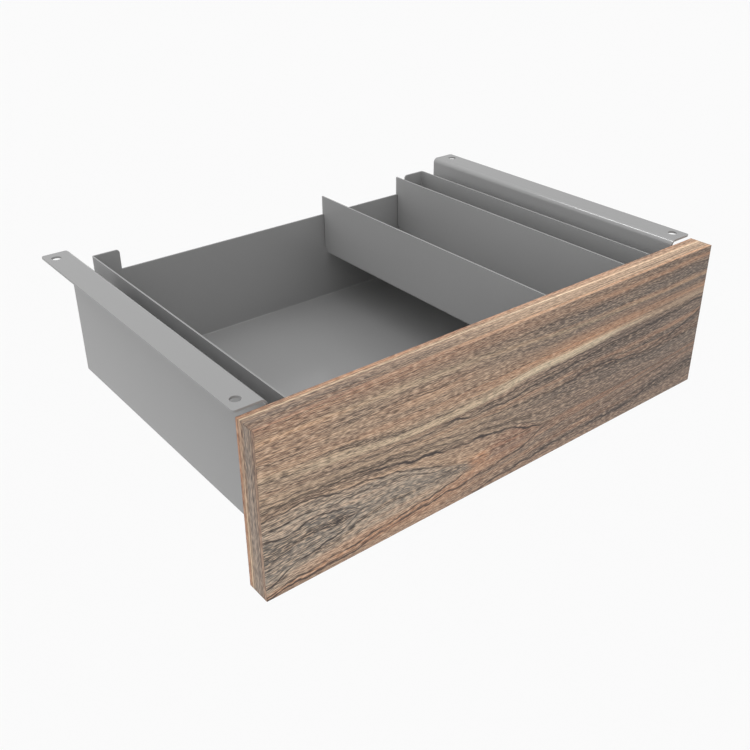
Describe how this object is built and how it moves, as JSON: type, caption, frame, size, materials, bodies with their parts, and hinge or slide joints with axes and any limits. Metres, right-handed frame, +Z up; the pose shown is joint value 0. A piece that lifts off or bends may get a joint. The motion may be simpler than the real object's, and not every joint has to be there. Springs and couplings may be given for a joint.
{
  "type": "under desk drawer",
  "caption": "Shallow steel drawer that hangs under a desk on two angle brackets and ball-bearing slides, with a raised inner tray and a wood-look front panel.",
  "frame": {"origin": "centre of the four desk screw holes, on the plane of the flange tops", "axes": "+Z up, +X to the right along the panel, +Y to the rear; the panel faces -Y"},
  "size_m": [0.4, 0.2883, 0.1186],
  "materials": {
    "grey_paint": "smooth satin grey powder coat",
    "walnut_face": "satin walnut-look laminate, grain along X",
    "walnut_back": "satin walnut-look laminate, grain along X",
    "walnut_band": "satin walnut-look edge band",
    "board_core": "raw particle board",
    "zinc_rail": "bright zinc-plated roll-formed steel",
    "zinc_fasteners": "zinc-plated steel",
    "rivet_aluminium": "plain aluminium",
    "cage_steel": "thin zinc-plated strip",
    "bearing_steel": "polished ball-bearing steel",
    "lever_plastic": "black moulded plastic",
    "bumper_rubber": "black rubber"
  },
  "bodies": {
    "brackets": {"left_bracket": "grey_paint", "left_bracket_bosses": "grey_paint", "left_outer_rail": "zinc_rail", "left_outer_rail_screws": "zinc_fasteners", "left_rear_bumper": "bumper_rubber", "right_bracket": "grey_paint", "right_bracket_bosses": "grey_paint", "right_outer_rail": "zinc_rail", "right_outer_rail_screws": "zinc_fasteners", "right_rear_bumper": "bumper_rubber"},
    "drawer": {"tray": "grey_paint", "raised_tray": "grey_paint", "panel_core": "board_core", "panel_back_laminate": "walnut_back", "panel_front_laminate": "walnut_face", "panel_top_band": "walnut_band", "panel_bottom_band": "walnut_band", "panel_left_band": "walnut_band", "panel_right_band": "walnut_band", "panel_screws": "zinc_fasteners", "raised_tray_screws": "zinc_fasteners", "raised_tray_rivets": "rivet_aluminium", "left_inner_rail": "zinc_rail", "left_inner_rail_screws": "zinc_fasteners", "left_lever_pin": "zinc_fasteners", "right_inner_rail": "zinc_rail", "right_inner_rail_screws": "zinc_fasteners", "right_lever_pin": "zinc_fasteners"},
    "left_middle": {"left_middle_rail": "zinc_rail"},
    "left_outer_bearing": {"left_outer_cage": "cage_steel", "left_outer_balls": "bearing_steel"},
    "left_inner_bearing": {"left_inner_cage": "cage_steel", "left_inner_balls": "bearing_steel"},
    "left_lever": {"left_release_lever": "lever_plastic"},
    "right_middle": {"right_middle_rail": "zinc_rail"},
    "right_outer_bearing": {"right_outer_cage": "cage_steel", "right_outer_balls": "bearing_steel"},
    "right_inner_bearing": {"right_inner_cage": "cage_steel", "right_inner_balls": "bearing_steel"},
    "right_lever": {"right_release_lever": "lever_plastic"}
  },
  "joints": [
    {"name": "drawer_slide", "type": "slide", "parent": "brackets", "child": "drawer", "axis": [0, -1, 0], "range_m": [0, 0.25]},
    {"name": "left_middle_slide", "type": "slide", "parent": "brackets", "child": "left_middle", "axis": [0, -1, 0], "range_m": [0, 0.125]},
    {"name": "left_outer_bearing_slide", "type": "slide", "parent": "brackets", "child": "left_outer_bearing", "axis": [0, -1, 0], "range_m": [0, 0.0625]},
    {"name": "left_inner_bearing_slide", "type": "slide", "parent": "brackets", "child": "left_inner_bearing", "axis": [0, -1, 0], "range_m": [0, 0.1875]},
    {"name": "left_lever_hinge", "type": "hinge", "parent": "drawer", "child": "left_lever", "pos_m": [-0.1665, 0.02, -0.055], "axis": [1, 0, 0], "range_deg": [0, 12], "stiffness_Nm_per_rad": 0.02},
    {"name": "right_middle_slide", "type": "slide", "parent": "brackets", "child": "right_middle", "axis": [0, -1, 0], "range_m": [0, 0.125]},
    {"name": "right_outer_bearing_slide", "type": "slide", "parent": "brackets", "child": "right_outer_bearing", "axis": [0, -1, 0], "range_m": [0, 0.0625]},
    {"name": "right_inner_bearing_slide", "type": "slide", "parent": "brackets", "child": "right_inner_bearing", "axis": [0, -1, 0], "range_m": [0, 0.1875]},
    {"name": "right_lever_hinge", "type": "hinge", "parent": "drawer", "child": "right_lever", "pos_m": [0.1665, 0.02, -0.055], "axis": [1, 0, 0], "range_deg": [0, 12], "stiffness_Nm_per_rad": 0.02}
  ],
  "couplings": [
    {"joint": "left_middle_slide", "follows": "drawer_slide", "ratio": 0.5},
    {"joint": "left_outer_bearing_slide", "follows": "drawer_slide", "ratio": 0.25},
    {"joint": "left_inner_bearing_slide", "follows": "drawer_slide", "ratio": 0.75},
    {"joint": "right_middle_slide", "follows": "drawer_slide", "ratio": 0.5},
    {"joint": "right_outer_bearing_slide", "follows": "drawer_slide", "ratio": 0.25},
    {"joint": "right_inner_bearing_slide", "follows": "drawer_slide", "ratio": 0.75}
  ]
}
